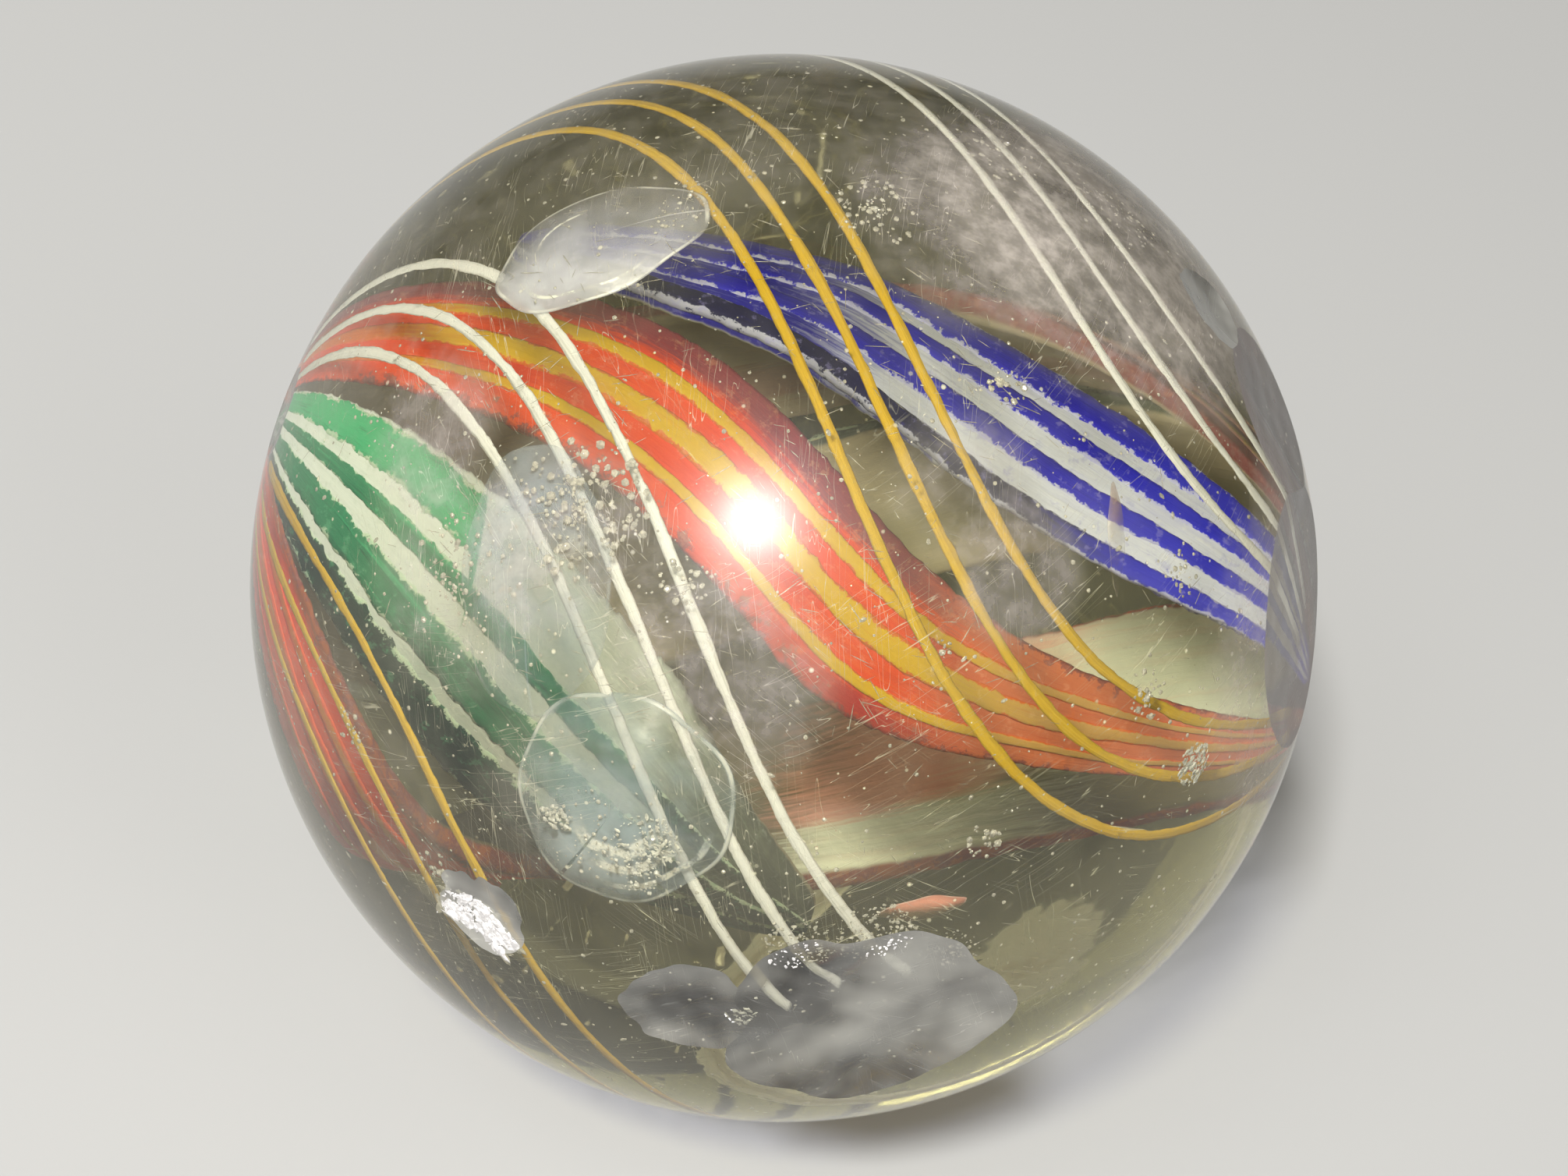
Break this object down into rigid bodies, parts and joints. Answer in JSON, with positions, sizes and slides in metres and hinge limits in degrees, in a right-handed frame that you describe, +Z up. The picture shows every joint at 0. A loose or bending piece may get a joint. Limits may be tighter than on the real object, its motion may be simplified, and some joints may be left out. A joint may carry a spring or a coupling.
{
  "type": "glass marble",
  "caption": "Round clear glass marble with a twisted core of striped coloured ribbons, bands of coloured threads near its skin, and small flakes and worn flats.",
  "frame": {"origin": "centre of the ball", "axes": "+X along the axis the swirl turns about, pole to pole; +Z up as the marble lies; the marked front is -Y"},
  "size_m": [0.019, 0.019, 0.019],
  "materials": {
    "clear_glass": "worn clear glass with a faint olive tint, hazed by fine scratches and pits",
    "red_glass": "opaque orange-red glass",
    "yellow_glass": "opaque yellow glass",
    "white_glass": "opaque cool white glass",
    "blue_glass": "deep blue glass",
    "cream_glass": "opaque cream white glass",
    "green_glass": "deep green glass",
    "yellow_thread_glass": "opaque yellow glass thread",
    "white_thread_glass": "opaque warm white glass thread"
  },
  "bodies": {
    "root": {"clear_glass_ball": "clear_glass", "red_ribbon_1": "red_glass", "red_ribbon_2": "red_glass", "red_ribbon_3": "red_glass", "yellow_stripes_1": "yellow_glass", "yellow_stripes_2": "yellow_glass", "yellow_stripes_3": "yellow_glass", "blue_white_ribbon": "white_glass", "blue_stripes_1": "blue_glass", "green_white_ribbon_1": "cream_glass", "green_white_ribbon_2": "cream_glass", "green_stripes_1": "green_glass", "green_stripes_2": "green_glass", "yellow_threads_1": "yellow_thread_glass", "yellow_threads_2": "yellow_thread_glass", "yellow_threads_3": "yellow_thread_glass", "white_threads_1": "white_thread_glass", "white_threads_2": "white_thread_glass", "white_threads_3": "white_thread_glass"}
  },
  "joints": []
}
